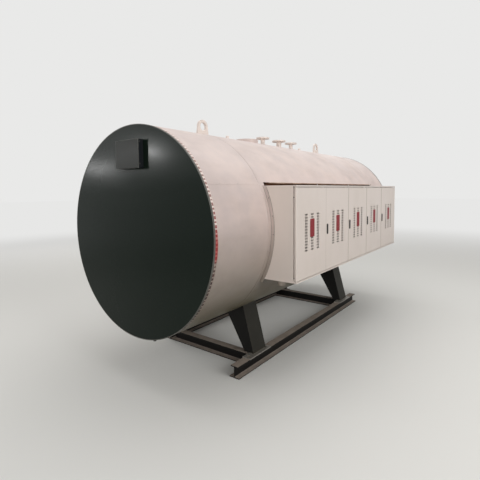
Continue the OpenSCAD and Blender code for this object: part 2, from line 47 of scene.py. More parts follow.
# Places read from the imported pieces, so that the looks follow the CAD
casingLow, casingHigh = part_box("casing_front")
rimLow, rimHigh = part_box("rims")
drumR = (casingHigh.x - casingLow.x) / 2
rimR = (rimHigh.x - rimLow.x) / 2
axisX = (casingHigh.x + casingLow.x) / 2
axisZ = (casingHigh.z + casingLow.z) / 2
frontY, rearY = rimLow.y, rimHigh.y
seamFrontY, seamRearY = casingHigh.y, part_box("casing_rear")[0].y
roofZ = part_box("cabinet_roof")[1].z
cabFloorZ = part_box("cabinet_floor")[0].z
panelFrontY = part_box("cabinet_end_front")[0].y
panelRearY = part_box("cabinet_end_rear")[1].y
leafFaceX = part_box("door_1")[1].x
boxLow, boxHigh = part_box("control_box_face")


def linear(hexColour):
    parts = [int(hexColour[i:i + 2], 16) / 255 for i in (1, 3, 5)]
    return tuple(c / 12.92 if c <= 0.04045 else ((c + 0.055) / 1.055) ** 2.4 for c in parts) + (1,)


def addNode(tree, kind, values=None, links=None, **settings):
    # sockets go by name or by number: Mix has its colours at 6 and 7 and gives them at output 2
    node = tree.nodes.new(kind)
    for name, value in settings.items():
        setattr(node, name, value)
    for socket, value in (values or {}).items():
        node.inputs[socket].default_value = value
    for socket, source in (links or {}).items():
        tree.links.new(source, node.inputs[socket])
    return node


def span(low, high, start, end):
    # what a Map Range reads, low to high, and what it gives for that
    return {1: low, 2: high, 3: start, 4: end}


def tones(first, second):
    # the two colours of a Mix
    return {6: linear(first), 7: linear(second)}


def newMaterial(name):
    material = bpy.data.materials.new(name)
    material.use_nodes = True
    tree = material.node_tree
    tree.nodes.clear()
    shader = addNode(tree, "ShaderNodeBsdfPrincipled")
    addNode(tree, "ShaderNodeOutputMaterial", links={"Surface": shader.outputs[0]})
    place = addNode(tree, "ShaderNodeTexCoord").outputs["Object"]
    return material, tree, shader, place


noiseRange = (0.3, 0.7)  # a noise texture has nearly all of its values in this range


def sprayedSheet(name, look):
    # polyester powder coat on thin rolled sheet: soft gloss, faint orange peel, slow waves from
    # the rolling, wiping streaks, and a darker greenish tone towards the bottom, which is painted shade
    material, tree, shader, place = newMaterial(name)
    cloud = addNode(tree, "ShaderNodeTexNoise", {"Scale": 1 / look["cloud"], "Detail": 4, "Roughness": 0.6},
                    {"Vector": place})
    cloudy = addNode(tree, "ShaderNodeMapRange", span(*look["cloudRange"], 0, look["cloudDepth"]),
                     {0: cloud.outputs[0]})
    tone = addNode(tree, "ShaderNodeMix", tones(look["base"], look["shade"]), {0: cloudy.outputs[0]},
                   data_type="RGBA")
    streakPlace = addNode(tree, "ShaderNodeMapping", {"Scale": look["streaksPerMetre"]}, {"Vector": place})
    streak = addNode(tree, "ShaderNodeTexNoise", {"Scale": 1, "Detail": 4, "Roughness": 0.55},
                     {"Vector": streakPlace.outputs[0]})
    smear = addNode(tree, "ShaderNodeMapRange", span(*look["smearRange"], 0, look["smear"]),
                    {0: streak.outputs[0]})
    smeared = addNode(tree, "ShaderNodeMix", {7: linear(look["dirt"])},
                      {0: smear.outputs[0], 6: tone.outputs[2]}, data_type="RGBA")
    # painted shade: the colour turns darker and greenish towards the bottom, strongly on the casing, faintly on
    # the cabinet
    height = addNode(tree, "ShaderNodeSeparateXYZ", links={0: place})
    low = addNode(tree, "ShaderNodeMapRange", span(look["dustAndShadeTop"], look["dustAndShadeEnd"], 0, look["dust"]),
                  {0: height.outputs[2]})
    finalTone = addNode(tree, "ShaderNodeMix", {7: linear(look["dustAndShadeTone"])},
                   {0: low.outputs[0], 6: smeared.outputs[2]}, data_type="RGBA")
    gloss = addNode(tree, "ShaderNodeMapRange",
                    span(*noiseRange, look["roughness"] - look["glossier"], look["roughness"] + look["duller"]),
                    {0: streak.outputs[0]})
    wave = addNode(tree, "ShaderNodeTexNoise", {"Scale": 1 / look["wave"], "Detail": 2, "Roughness": 0.4},
                   {"Vector": place})
    peel = addNode(tree, "ShaderNodeTexNoise", {"Scale": 1 / look["peel"], "Detail": 2}, {"Vector": place})
    waveBump = addNode(tree, "ShaderNodeBump", {"Strength": 1, "Distance": look["waveDepth"]},
                       {"Height": wave.outputs[0]})
    peelBump = addNode(tree, "ShaderNodeBump", {"Strength": 0.25, "Distance": look["peelDepth"]},
                       {"Height": peel.outputs[0], "Normal": waveBump.outputs[0]})
    tree.links.new(finalTone.outputs[2], shader.inputs["Base Color"])
    tree.links.new(gloss.outputs[0], shader.inputs["Roughness"])
    tree.links.new(peelBump.outputs[0], shader.inputs["Normal"])
    shader.inputs["IOR"].default_value = look["ior"]
    return material


# The casing's dark greenish tone low down is painted shade: the drum is made darker towards the bottom
casingLook = {"base": "#d0bfb8", "shade": "#bfb1ae", "cloud": 240 * mm, "cloudRange": (0.35, 0.7),
              "cloudDepth": 0.8, "dirt": "#a99a93", "streaksPerMetre": (7, 3, 7), "smearRange": (0.45, 0.8),
              "smear": 0.35, "dustAndShadeTone": "#67614a", "dust": 1, "dustAndShadeTop": 1.36, "dustAndShadeEnd": 0.5, "roughness": 0.4,
              "glossier": 0.05, "duller": 0.07, "ior": 1.5,
              "wave": 350 * mm, "waveDepth": 4 * mm, "peel": 3 * mm, "peelDepth": 0.15 * mm}
cabinetLook = dict(casingLook, base="#e4d8d0", shade="#ddd1c7", cloud=600 * mm, cloudDepth=0.5,
                   dirt="#c4b6aa", streaksPerMetre=(5, 5, 2), smear=0.15, dust=0.06, dustAndShadeTop=1.2, dustAndShadeEnd=0.8,
                   roughness=0.38, wave=500 * mm, waveDepth=1.5 * mm)
casingWhite = sprayedSheet("casing powder coat", casingLook)
cabinetIvory = sprayedSheet("cabinet powder coat", cabinetLook)


def enamelledPlate(name, look):
    # flat steel plate with dark baked enamel: a blurred mirror in faint level bands, a little
    # dusty, and lighter along its edges, which is a painted highlight
    material, tree, shader, place = newMaterial(name)
    bandPlace = addNode(tree, "ShaderNodeMapping", {"Scale": look["bandStretch"]}, {"Vector": place})
    band = addNode(tree, "ShaderNodeTexNoise", {"Scale": 1 / look["band"], "Detail": 3, "Roughness": 0.5},
                   {"Vector": bandPlace.outputs[0]})
    cloud = addNode(tree, "ShaderNodeTexNoise", {"Scale": 1 / look["cloud"], "Detail": 3}, {"Vector": place})
    tone = addNode(tree, "ShaderNodeMix", tones(look["base"], look["shade"]), {0: cloud.outputs[0]},
                   data_type="RGBA")
    specks = addNode(tree, "ShaderNodeTexNoise", {"Scale": 1 / look["speck"], "Detail": 5, "Roughness": 0.7},
                     {"Vector": place})
    dustMask = addNode(tree, "ShaderNodeMapRange", span(*look["speckRange"], 0, look["dustCover"]),
                       {0: specks.outputs[0]})
    dusty = addNode(tree, "ShaderNodeMix", {7: linear(look["dust"])},
                    {0: dustMask.outputs[0], 6: tone.outputs[2]}, data_type="RGBA")
    # along an edge the bevelled normal leaves the flat one; the colour is made lighter there, a painted highlight
    rounded = addNode(tree, "ShaderNodeBevel", {"Radius": look["edge"]}, samples=6)
    flat = addNode(tree, "ShaderNodeNewGeometry")
    bend = addNode(tree, "ShaderNodeVectorMath", links={0: rounded.outputs[0], 1: flat.outputs["Normal"]},
                   operation="DOT_PRODUCT")
    edge = addNode(tree, "ShaderNodeMapRange", span(*look["edgeBend"], 0, look["edgeHighlight"]),
                   {0: bend.outputs["Value"]})
    finalTone = addNode(tree, "ShaderNodeMix", {7: linear(look["edgeHighlightTone"])},
                   {0: edge.outputs[0], 6: dusty.outputs[2]}, data_type="RGBA")
    gloss = addNode(tree, "ShaderNodeMapRange",
                    span(*noiseRange, look["roughness"] - look["glossier"], look["roughness"] + look["duller"]),
                    {0: band.outputs[0]})
    wave = addNode(tree, "ShaderNodeBump", {"Strength": 1, "Distance": look["waveDepth"]},
                   {"Height": band.outputs[0], "Normal": rounded.outputs[0]})
    tree.links.new(finalTone.outputs[2], shader.inputs["Base Color"])
    tree.links.new(gloss.outputs[0], shader.inputs["Roughness"])
    tree.links.new(wave.outputs[0], shader.inputs["Normal"])
    shader.inputs["IOR"].default_value = look["ior"]
    return material


# The lighter edge colour of the plate and the control box is a painted highlight, brightest on the box face
plateLook = {"base": "#111b15", "shade": "#17211b", "cloud": 454.5 * mm, "roughness": 0.19, "glossier": 0.02,
             "duller": 0.03, "ior": 1.21, "band": 111.1 * mm, "bandStretch": (0.25, 1, 1), "waveDepth": 0.15 * mm,
             "dust": "#8a8378", "speck": 11.11 * mm, "speckRange": (0.56, 0.8), "dustCover": 0.05,
             "edge": 1.5 * mm, "edgeBend": (0.98, 0.8), "edgeHighlight": 0.3, "edgeHighlightTone": "#6d7069"}
boxFaceLook = dict(plateLook, base="#2b2d2b", shade="#323431", roughness=0.3, ior=1.16, edge=5 * mm, edgeHighlight=0.8,
                   edgeHighlightTone="#a3a49e")
boxLook = dict(plateLook, base="#1f2226", shade="#272a2d", roughness=0.35, edgeHighlight=0.1)
plateEnamel = enamelledPlate("dark plate enamel", plateLook)
boxFace = enamelledPlate("control box face enamel", boxFaceLook)
boxBlack = enamelledPlate("control box side enamel", boxLook)


def frameCoat(name, look):
    # brushed alkyd paint on hot-rolled steel: brown-black satin, tan dust on top, chipped edges
    material, tree, shader, place = newMaterial(name)
    grain = addNode(tree, "ShaderNodeTexNoise", {"Scale": 1 / look["grain"], "Detail": 5, "Roughness": 0.65},
                    {"Vector": place})
    tone = addNode(tree, "ShaderNodeMix", tones(look["base"], look["shade"]), {0: grain.outputs[0]},
                   data_type="RGBA")
    flat = addNode(tree, "ShaderNodeNewGeometry")
    facing = addNode(tree, "ShaderNodeSeparateXYZ", links={0: flat.outputs["Normal"]})
    upward = addNode(tree, "ShaderNodeMapRange", span(look["dustFrom"], look["dustFull"], 0, look["dustCover"]),
                     {0: facing.outputs[2]})
    patches = addNode(tree, "ShaderNodeTexNoise", {"Scale": 1 / look["patch"], "Detail": 6, "Roughness": 0.7},
                      {"Vector": place})
    spread = addNode(tree, "ShaderNodeMapRange", span(*look["patchRange"], *look["patchDust"]),
                     {0: patches.outputs[0]})
    settled = addNode(tree, "ShaderNodeMath", links={0: upward.outputs[0], 1: spread.outputs[0]},
                      operation="MULTIPLY")
    dusty = addNode(tree, "ShaderNodeMix", {7: linear(look["dust"])},
                    {0: settled.outputs[0], 6: tone.outputs[2]}, data_type="RGBA")
    # chips along the edges, where the bevelled normal leaves the flat one
    rounded = addNode(tree, "ShaderNodeBevel", {"Radius": look["edge"]}, samples=6)
    bend = addNode(tree, "ShaderNodeVectorMath", links={0: rounded.outputs[0], 1: flat.outputs["Normal"]},
                   operation="DOT_PRODUCT")
    edge = addNode(tree, "ShaderNodeMapRange", span(*look["edgeBend"], 0, 1), {0: bend.outputs["Value"]})
    chips = addNode(tree, "ShaderNodeTexNoise", {"Scale": 1 / look["chip"], "Detail": 4, "Roughness": 0.7},
                    {"Vector": place})
    chipMask = addNode(tree, "ShaderNodeMapRange", span(*look["chipRange"], 0, look["chipCover"]),
                       {0: chips.outputs[0]})
    chipped = addNode(tree, "ShaderNodeMath", links={0: edge.outputs[0], 1: chipMask.outputs[0]},
                      operation="MULTIPLY")
    finalTone = addNode(tree, "ShaderNodeMix", {7: linear(look["bare"])},
                   {0: chipped.outputs[0], 6: dusty.outputs[2]}, data_type="RGBA")
    gloss = addNode(tree, "ShaderNodeMapRange", span(0, 1, look["roughness"], look["dustRoughness"]),
                    {0: settled.outputs[0]})
    bump = addNode(tree, "ShaderNodeBump", {"Strength": 0.3, "Distance": look["grainDepth"]},
                   {"Height": grain.outputs[0]})
    tree.links.new(finalTone.outputs[2], shader.inputs["Base Color"])
    tree.links.new(gloss.outputs[0], shader.inputs["Roughness"])
    tree.links.new(bump.outputs[0], shader.inputs["Normal"])
    shader.inputs["IOR"].default_value = look["ior"]
    return material


frameLook = {"base": "#080706", "shade": "#100e0c", "grain": 20 * mm, "grainDepth": 0.6 * mm,
             "roughness": 0.5, "dustRoughness": 0.85, "ior": 1.27,
             "dust": "#9b8f84", "dustFrom": 0.3, "dustFull": 0.95, "dustCover": 0.9,
             "patch": 90.9 * mm, "patchRange": (0.3, 0.62), "patchDust": (0.7, 1),
             "edge": 2.5 * mm, "edgeBend": (0.97, 0.8),
             "bare": "#8d8880", "chip": 8.333 * mm, "chipRange": (0.46, 0.6), "chipCover": 0.5}
legLook = dict(frameLook, base="#0b0a0a", shade="#161512", dust="#5c5849", dustFrom=0.12, dustCover=0.8)
beamPaint = frameCoat("beam alkyd paint", frameLook)
legPaint = frameCoat("leg alkyd paint", legLook)


def rawSteel(name, look):
    # rolled steel without paint: grey metal, cloudy mill scale, freckles of rust
    material, tree, shader, place = newMaterial(name)
    scale = addNode(tree, "ShaderNodeTexNoise", {"Scale": 1 / look["cloud"], "Detail": 5, "Roughness": 0.6},
                    {"Vector": place})
    tone = addNode(tree, "ShaderNodeMix", tones(look["base"], look["shade"]), {0: scale.outputs[0]},
                   data_type="RGBA")
    freckle = addNode(tree, "ShaderNodeTexNoise", {"Scale": 1 / look["freckle"], "Detail": 5, "Roughness": 0.75},
                      {"Vector": place})
    rust = addNode(tree, "ShaderNodeMapRange", span(*look["rustRange"], 0, look["rustCover"]),
                   {0: freckle.outputs[0]})
    rusty = addNode(tree, "ShaderNodeMix", {7: linear(look["rust"])},
                    {0: rust.outputs[0], 6: tone.outputs[2]}, data_type="RGBA")
    metal = addNode(tree, "ShaderNodeMapRange", span(0, 1, look["metallic"], 0), {0: rust.outputs[0]})
    gloss = addNode(tree, "ShaderNodeMapRange",
                    span(*noiseRange, look["roughness"] - look["glossier"], look["roughness"] + look["duller"]),
                    {0: scale.outputs[0]})
    bump = addNode(tree, "ShaderNodeBump", {"Strength": 0.2, "Distance": look["pitDepth"]},
                   {"Height": freckle.outputs[0]})
    tree.links.new(rusty.outputs[2], shader.inputs["Base Color"])
    tree.links.new(metal.outputs[0], shader.inputs["Metallic"])
    tree.links.new(gloss.outputs[0], shader.inputs["Roughness"])
    tree.links.new(bump.outputs[0], shader.inputs["Normal"])
    return material


footLook = {"base": "#b5b1aa", "shade": "#8f8a82", "cloud": 30 * mm, "metallic": 0.7, "roughness": 0.42,
            "glossier": 0.06, "duller": 0.1, "rust": "#6a4630", "freckle": 6.667 * mm, "rustRange": (0.56, 0.68),
            "rustCover": 0.35, "pitDepth": 0.3 * mm}
rimLook = dict(footLook, base="#63615b", shade="#494842", rustCover=0.15, metallic=0.15)  # dulled by handling
screwLook = dict(footLook, base="#6f6b66", shade="#4c4945", rustCover=0.1)  # zinc gone grey
footSteel = rawSteel("bare foot plate steel", footLook)
rimSteel = rawSteel("dull rolled edge steel", rimLook)
screwSteel = rawSteel("zinc screw steel", screwLook)


def rustyPrimer(name, look):
    # the vessel's brushed iron-oxide primer, rusted through: dull red-brown in patches
    material, tree, shader, place = newMaterial(name)
    patch = addNode(tree, "ShaderNodeTexNoise", {"Scale": 1 / look["patch"], "Detail": 7, "Roughness": 0.7},
                    {"Vector": place})
    spread = addNode(tree, "ShaderNodeMapRange", span(*look["patchRange"], 0, 1), {0: patch.outputs[0]})
    tone = addNode(tree, "ShaderNodeMix", tones(look["base"], look["shade"]), {0: spread.outputs[0]},
                   data_type="RGBA")
    bump = addNode(tree, "ShaderNodeBump", {"Strength": 0.5, "Distance": look["depth"]},
                   {"Height": patch.outputs[0]})
    tree.links.new(tone.outputs[2], shader.inputs["Base Color"])
    tree.links.new(bump.outputs[0], shader.inputs["Normal"])
    shader.inputs["Roughness"].default_value = look["roughness"]
    return material


primerLook = {"base": "#5e3d2c", "shade": "#8b5b41", "patch": 111.1 * mm, "patchRange": (0.35, 0.65),
              "depth": 1 * mm, "roughness": 0.85}
vesselPrimer = rustyPrimer("iron oxide primer", primerLook)


def fineGrain(name, look):
    # one even colour with a grain: moulded plastic, rubber, film, sealant or cloth
    material, tree, shader, place = newMaterial(name)
    grain = addNode(tree, "ShaderNodeTexNoise", {"Scale": 1 / look["grain"], "Detail": 3, "Roughness": 0.6},
                    {"Vector": place})
    tone = addNode(tree, "ShaderNodeMix", tones(look["base"], look["shade"]), {0: grain.outputs[0]},
                   data_type="RGBA")
    gloss = addNode(tree, "ShaderNodeMapRange",
                    span(*noiseRange, look["roughness"], look["roughness"] + look["duller"]),
                    {0: grain.outputs[0]})
    bump = addNode(tree, "ShaderNodeBump", {"Strength": 0.3, "Distance": look["depth"]},
                   {"Height": grain.outputs[0]})
    tree.links.new(tone.outputs[2], shader.inputs["Base Color"])
    tree.links.new(gloss.outputs[0], shader.inputs["Roughness"])
    tree.links.new(bump.outputs[0], shader.inputs["Normal"])
    shader.inputs["IOR"].default_value = look["ior"]
    return material


# Injection-moulded ABS: near black, with a soft highlight on its spark-eroded grain
plasticLook = {"base": "#150e0b", "shade": "#241a15", "grain": 0.8 * mm, "depth": 0.1 * mm, "roughness": 0.34,
               "duller": 0.16, "ior": 1.53}
# Calendered vinyl film: an even, satin red that follows the sheet's waves
redLook = dict(plasticLook, base="#780814", shade="#8c1420", grain=16 * mm, depth=0.3 * mm, roughness=0.42,
               ior=1.4)
# Extruded rubber: the leaf's colour, without its gloss
sealLook = dict(plasticLook, base="#c9beb4", shade="#bcb0a5", roughness=0.5)
# Woven glass cloth that heat and damp have stained brown in patches
laggingLook = dict(plasticLook, base="#b39c89", shade="#8f7059", grain=30 * mm, depth=1.5 * mm, roughness=0.85)
# Gunned sealant, smoothed by a finger, coloured dark: painted shade for the shade lines along the strips' edges
shadeLineLook = dict(plasticLook, base="#6e655c", shade="#8b8177", grain=4 * mm, depth=0.4 * mm, roughness=0.6)
lockPlastic = fineGrain("black moulded ABS", plasticLook)
patchRed = fineGrain("red vinyl film", redLook)
sealRubber = fineGrain("ivory edge rubber", sealLook)
laggingCloth = fineGrain("stained glass cloth", laggingLook)
shadeLinePaint = fineGrain("dark sealant as painted shade", shadeLineLook)


def tapePrint(name, look):
    # printed polypropylene tape: lighter near the crest, red at hip height, darker towards the bottom,
    # with a slow noise that sways the borders between the three up and down
    material, tree, shader, place = newMaterial(name)
    height = addNode(tree, "ShaderNodeSeparateXYZ", links={0: place})
    patch = addNode(tree, "ShaderNodeTexNoise", {"Scale": 1 / look["patch"], "Detail": 3}, {"Vector": place})
    swayed = addNode(tree, "ShaderNodeMath", {1: look["sway"]}, {0: patch.outputs[0], 2: height.outputs[2]},
                     operation="MULTIPLY_ADD")
    middle = look["sway"] / 2
    redMask = addNode(tree, "ShaderNodeMapRange", span(look["redTop"] + middle, look["redFull"] + middle, 0, 1),
                    {0: swayed.outputs[0]})
    inked = addNode(tree, "ShaderNodeMix", tones(look["topTone"], look["red"]), {0: redMask.outputs[0]},
                    data_type="RGBA")
    darker = addNode(tree, "ShaderNodeMapRange", span(look["darkTop"] + middle, look["darkFull"] + middle, 0, 1),
                    {0: swayed.outputs[0]})
    tone = addNode(tree, "ShaderNodeMix", {7: linear(look["dirty"])},
                   {0: darker.outputs[0], 6: inked.outputs[2]}, data_type="RGBA")
    tree.links.new(tone.outputs[2], shader.inputs["Base Color"])
    shader.inputs["Roughness"].default_value = look["roughness"]
    return material


tapeLook = {"topTone": "#e3d4cc", "red": "#b65c56", "dirty": "#a09287", "redTop": 1.32, "redFull": 1.22,
            "darkTop": 1.1, "darkFull": 1.02, "patch": 142.9 * mm, "sway": 0.3, "roughness": 0.5}
dashLook = dict(tapeLook, topTone="#94706a", red="#8e0c18", dirty="#301614", redTop=1.5, redFull=1.24, darkTop=1.11,
                darkFull=0.98)
tapeWhite = tapePrint("white edge tape", tapeLook)
tapeRed = tapePrint("red tape print", dashLook)

slotMaterial = {"casing_white": casingWhite, "cabinet_ivory": cabinetIvory, "plate_enamel": plateEnamel,
                "box_face": boxFace, "box_black": boxBlack, "base_paint": beamPaint, "bare_steel": footSteel,
                "vessel_primer": vesselPrimer, "lock_plastic": lockPlastic}
# Pieces that share a slot with another finish, by the start of their names. The couplings, lugs and nozzles take
# the lighter cabinet coat as painted light, brightening their shaded undersides
ownMaterial = {"couplings": cabinetIvory, "lug_": cabinetIvory, "nozzle_": cabinetIvory, "rims": rimSteel,
               "leg_": legPaint}
for name, node in nodes.items():
    own = next((material for start, material in ownMaterial.items() if name.startswith(start)), None)
    for slot in node.material_slots:
        slot.material = own or slotMaterial[slot.material.name.split(".")[0]]
print("materials assigned")


def fromMesh(name, bm, material):
    bmesh.ops.remove_doubles(bm, verts=bm.verts, dist=1e-6)
    bmesh.ops.recalc_face_normals(bm, faces=bm.faces)
    mesh = bpy.data.meshes.new(name)
    bm.to_mesh(mesh)
    bm.free()
    mesh.materials.append(material)
    piece = bpy.data.objects.new(name, mesh)
    scene.collection.objects.link(piece)
    return piece


def runTree(name, tree, values, path=None):
    # lets a node tree make its mesh, and keeps that as a plain mesh at the origin
    seedMesh = bpy.data.meshes.new(name + "_seed")
    if path:
        seedMesh.from_pydata(path["points"], path["edges"], [])
    holder = bpy.data.objects.new(name + "_holder", seedMesh)
    scene.collection.objects.link(holder)
    modifier = holder.modifiers.new("build", "NODES")
    modifier.node_group = tree
    for item in tree.interface.items_tree:
        if item.item_type == "SOCKET" and item.in_out == "INPUT" and item.name in values:
            modifier[item.identifier] = values[item.name]
    bpy.context.view_layer.update()
    graph = bpy.context.evaluated_depsgraph_get()
    mesh = bpy.data.meshes.new_from_object(holder.evaluated_get(graph), depsgraph=graph)
    mesh.name = name
    bpy.data.objects.remove(holder)
    piece = bpy.data.objects.new(name, mesh)
    scene.collection.objects.link(piece)
    return piece


def fit(piece, body):
    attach(piece, body)


def newTree(name, sockets):
    tree = bpy.data.node_groups.new(name, "GeometryNodeTree")
    tree.interface.new_socket("Geometry", in_out="INPUT", socket_type="NodeSocketGeometry")
    for label, kind in sockets.items():
        tree.interface.new_socket(label, in_out="INPUT", socket_type="NodeSocket" + kind)
    tree.interface.new_socket("Geometry", in_out="OUTPUT", socket_type="NodeSocketGeometry")
    return tree, addNode(tree, "NodeGroupInput").outputs


def closeTree(tree, geometry, inputs):
    real = addNode(tree, "GeometryNodeRealizeInstances", links={0: geometry})
    painted = addNode(tree, "GeometryNodeSetMaterial", links={0: real.outputs[0], "Material": inputs["Material"]})
    addNode(tree, "NodeGroupOutput", links={0: painted.outputs[0]})


def roundDrum(tree, geometry, along):
    # stands what was drawn in the XY plane upright round the drum's axis, at that place along Y
    shift = addNode(tree, "ShaderNodeCombineXYZ", {0: axisX, 2: axisZ}, {1: along})
    return addNode(tree, "GeometryNodeTransform", {"Rotation": (math.pi / 2, 0, 0)},
                   {0: geometry, "Translation": shift.outputs[0]}).outputs[0]


def ringTree(label, shape):
    # copies of a small shape on an arc round the drum's axis, each standing on the sheet; Size is
    # along the arc, along Y and off the sheet, and Unevenness shortens them at random
    tree, inputs = newTree(label, {
        "Radius": "Float", "Along": "Float", "Count": "Int", "First": "Float", "Sweep": "Float", "Size": "Vector",
        "Unevenness": "Float", "Seed": "Int", "Material": "Material"})
    arc = addNode(tree, "GeometryNodeCurveArc", {"Resolution": 256},
                  {"Radius": inputs["Radius"], "Start Angle": inputs["First"], "Sweep Angle": inputs["Sweep"]},
                  mode="RADIUS")
    points = addNode(tree, "GeometryNodeCurveToPoints", links={"Curve": arc.outputs[0], "Count": inputs["Count"]},
                     mode="COUNT")
    spot = addNode(tree, "GeometryNodeInputPosition")
    turned = addNode(tree, "FunctionNodeAlignRotationToVector", links={"Vector": spot.outputs[0]}, axis="Z")
    upright = addNode(tree, "FunctionNodeAlignRotationToVector", {"Vector": (0, 0, 1)},
                      {"Rotation": turned.outputs[0]}, axis="Y", pivot_axis="Z")
    spare = addNode(tree, "FunctionNodeRandomValue", {2: 0, 3: 1}, {"Seed": inputs["Seed"]}, data_type="FLOAT")
    less = addNode(tree, "ShaderNodeMath", links={0: spare.outputs[1], 1: inputs["Unevenness"]},
                   operation="MULTIPLY")
    keep = addNode(tree, "ShaderNodeMath", {0: 1}, {1: less.outputs[0]}, operation="SUBTRACT")
    stretch = addNode(tree, "ShaderNodeCombineXYZ", {1: 1, 2: 1}, {0: keep.outputs[0]})
    size = addNode(tree, "ShaderNodeVectorMath", links={0: inputs["Size"], 1: stretch.outputs[0]},
                   operation="MULTIPLY")
    if shape == "dome":
        form = addNode(tree, "GeometryNodeMeshUVSphere", {"Segments": 10, "Rings": 6, "Radius": 0.5})
    else:
        form = addNode(tree, "GeometryNodeMeshCube", {"Size": (1, 1, 1)})
    copies = addNode(tree, "GeometryNodeInstanceOnPoints", links={
        "Points": points.outputs[0], "Instance": form.outputs[0], "Rotation": upright.outputs[0],
        "Scale": size.outputs[0]})
    closeTree(tree, roundDrum(tree, copies.outputs[0], inputs["Along"]), inputs)
    return tree


def bandTree():
    # a flat band bent round the drum
    tree, inputs = newTree("bent band", {
        "Radius": "Float", "Along": "Float", "First": "Float", "Sweep": "Float", "Width": "Float",
        "Thick": "Float", "Material": "Material"})
    arc = addNode(tree, "GeometryNodeCurveArc", {"Resolution": 192},
                  {"Radius": inputs["Radius"], "Start Angle": inputs["First"], "Sweep Angle": inputs["Sweep"]},
                  mode="RADIUS")
    section = addNode(tree, "GeometryNodeCurvePrimitiveQuadrilateral",
                      links={"Width": inputs["Thick"], "Height": inputs["Width"]})
    swept = addNode(tree, "GeometryNodeCurveToMesh", {"Fill Caps": True},
                    {"Curve": arc.outputs[0], "Profile Curve": section.outputs[0]})
    closeTree(tree, roundDrum(tree, swept.outputs[0], inputs["Along"]), inputs)
    return tree


def spotTree():
    # a small screw head or rivet on every point of a path, its axis along the given direction
    tree, inputs = newTree("screw heads", {
        "Radius": "Float", "Height": "Float", "Axis": "Vector", "Sides": "Int", "Material": "Material"})
    head = addNode(tree, "GeometryNodeMeshCylinder", {"Side Segments": 1, "Fill Segments": 1},
                   {"Vertices": inputs["Sides"], "Radius": inputs["Radius"], "Depth": inputs["Height"]})
    turn = addNode(tree, "FunctionNodeAlignRotationToVector", links={"Vector": inputs["Axis"]}, axis="Z")
    copies = addNode(tree, "GeometryNodeInstanceOnPoints", links={
        "Points": inputs["Geometry"], "Instance": head.outputs[0], "Rotation": turn.outputs[0]})
    closeTree(tree, copies.outputs[0], inputs)
    return tree


def beadTree():
    # a weld bead or a line of sealant along a path of edges; it swells and thins from Wobble times
    # its radius up to a little over the radius
    tree, inputs = newTree("bead along a path", {
        "Radius": "Float", "Step": "Float", "Wobble": "Float", "Sides": "Int", "Material": "Material"})
    line = addNode(tree, "GeometryNodeMeshToCurve", links={"Mesh": inputs["Geometry"]})
    fine = addNode(tree, "GeometryNodeResampleCurve", links={"Curve": line.outputs[0], "Length": inputs["Step"]},
                   mode="LENGTH")
    section = addNode(tree, "GeometryNodeCurvePrimitiveCircle",
                      links={"Radius": inputs["Radius"], "Resolution": inputs["Sides"]}, mode="RADIUS")
    ripple = addNode(tree, "ShaderNodeTexNoise", {"Scale": 140, "Detail": 2})  # lumps about 7 mm long
    swell = addNode(tree, "ShaderNodeMapRange", {1: noiseRange[0], 2: noiseRange[1], 4: 1.15},
                    {0: ripple.outputs[0], 3: inputs["Wobble"]})
    swept = addNode(tree, "GeometryNodeCurveToMesh", {"Fill Caps": True}, {
        "Curve": fine.outputs[0], "Profile Curve": section.outputs[0], "Scale": swell.outputs[0]})
    closeTree(tree, swept.outputs[0], inputs)
    return tree


domeRing = ringTree("domes round the drum", "dome")
dashRing = ringTree("dashes round the drum", "dash")
bentBand = bandTree()
screwSpots = spotTree()
beadPath = beadTree()


def chain(*lines):
    # several open or closed lines of points as one path
    points, edges = [], []
    for line, closed in lines:
        start = len(points)
        points += [tuple(p) for p in line]
        edges += [(start + i, start + i + 1) for i in range(len(line) - 1)]
        if closed:
            edges.append((start + len(line) - 1, start))
    return {"points": points, "edges": edges}


def onDrum(angle, radius, y):
    return (axisX + radius * math.cos(angle), y, axisZ + radius * math.sin(angle))


def headsAt(name, spots, axis, trim, material):
    return runTree(name, screwSpots, {
        "Radius": trim["headR"], "Height": trim["headHigh"], "Axis": axis, "Sides": 12, "Material": material},
        {"points": spots, "edges": []})


def prism(bm, sections):
    # a closed skin over sections with the same number of corners, one after the other
    rings = [[bm.verts.new(corner) for corner in section] for section in sections]
    for a, b in zip(rings, rings[1:]):
        for i in range(len(a)):
            j = (i + 1) % len(a)
            bm.faces.new((a[i], a[j], b[j], b[i]))
    bm.faces.new(rings[0])
    bm.faces.new(rings[-1][::-1])


# Printed tape round the front rim, with dashes of uneven length
edgeTape = {"start": 12 * mm, "width": 26 * mm, "thick": 0.5 * mm, "dashCount": 176, "dashPlace": 0.45,
            "dashLong": 22 * mm, "dashWide": 17 * mm, "dashThick": 0.4 * mm, "unevenness": 0.6, "seed": 7}
tapeBand = runTree("edge_tape", bentBand, {
    "Radius": drumR + edgeTape["thick"] / 2, "Along": frontY + edgeTape["start"] + edgeTape["width"] / 2,
    "First": 0.0, "Sweep": openTurn, "Width": edgeTape["width"], "Thick": edgeTape["thick"],
    "Material": tapeWhite})
tapeDashes = runTree("edge_tape_dashes", dashRing, {
    "Radius": drumR + edgeTape["thick"] + edgeTape["dashThick"] / 2,
    "Along": frontY + edgeTape["start"] + edgeTape["width"] * edgeTape["dashPlace"],
    "Count": edgeTape["dashCount"], "First": 0.0, "Sweep": fullTurn * (1 - 1 / edgeTape["dashCount"]),
    "Size": (edgeTape["dashLong"], edgeTape["dashWide"], edgeTape["dashThick"]),
    "Unevenness": edgeTape["unevenness"], "Seed": edgeTape["seed"], "Material": tapeRed})
fit(tapeBand, "boiler")
fit(tapeDashes, "boiler")
print("edge tape made")

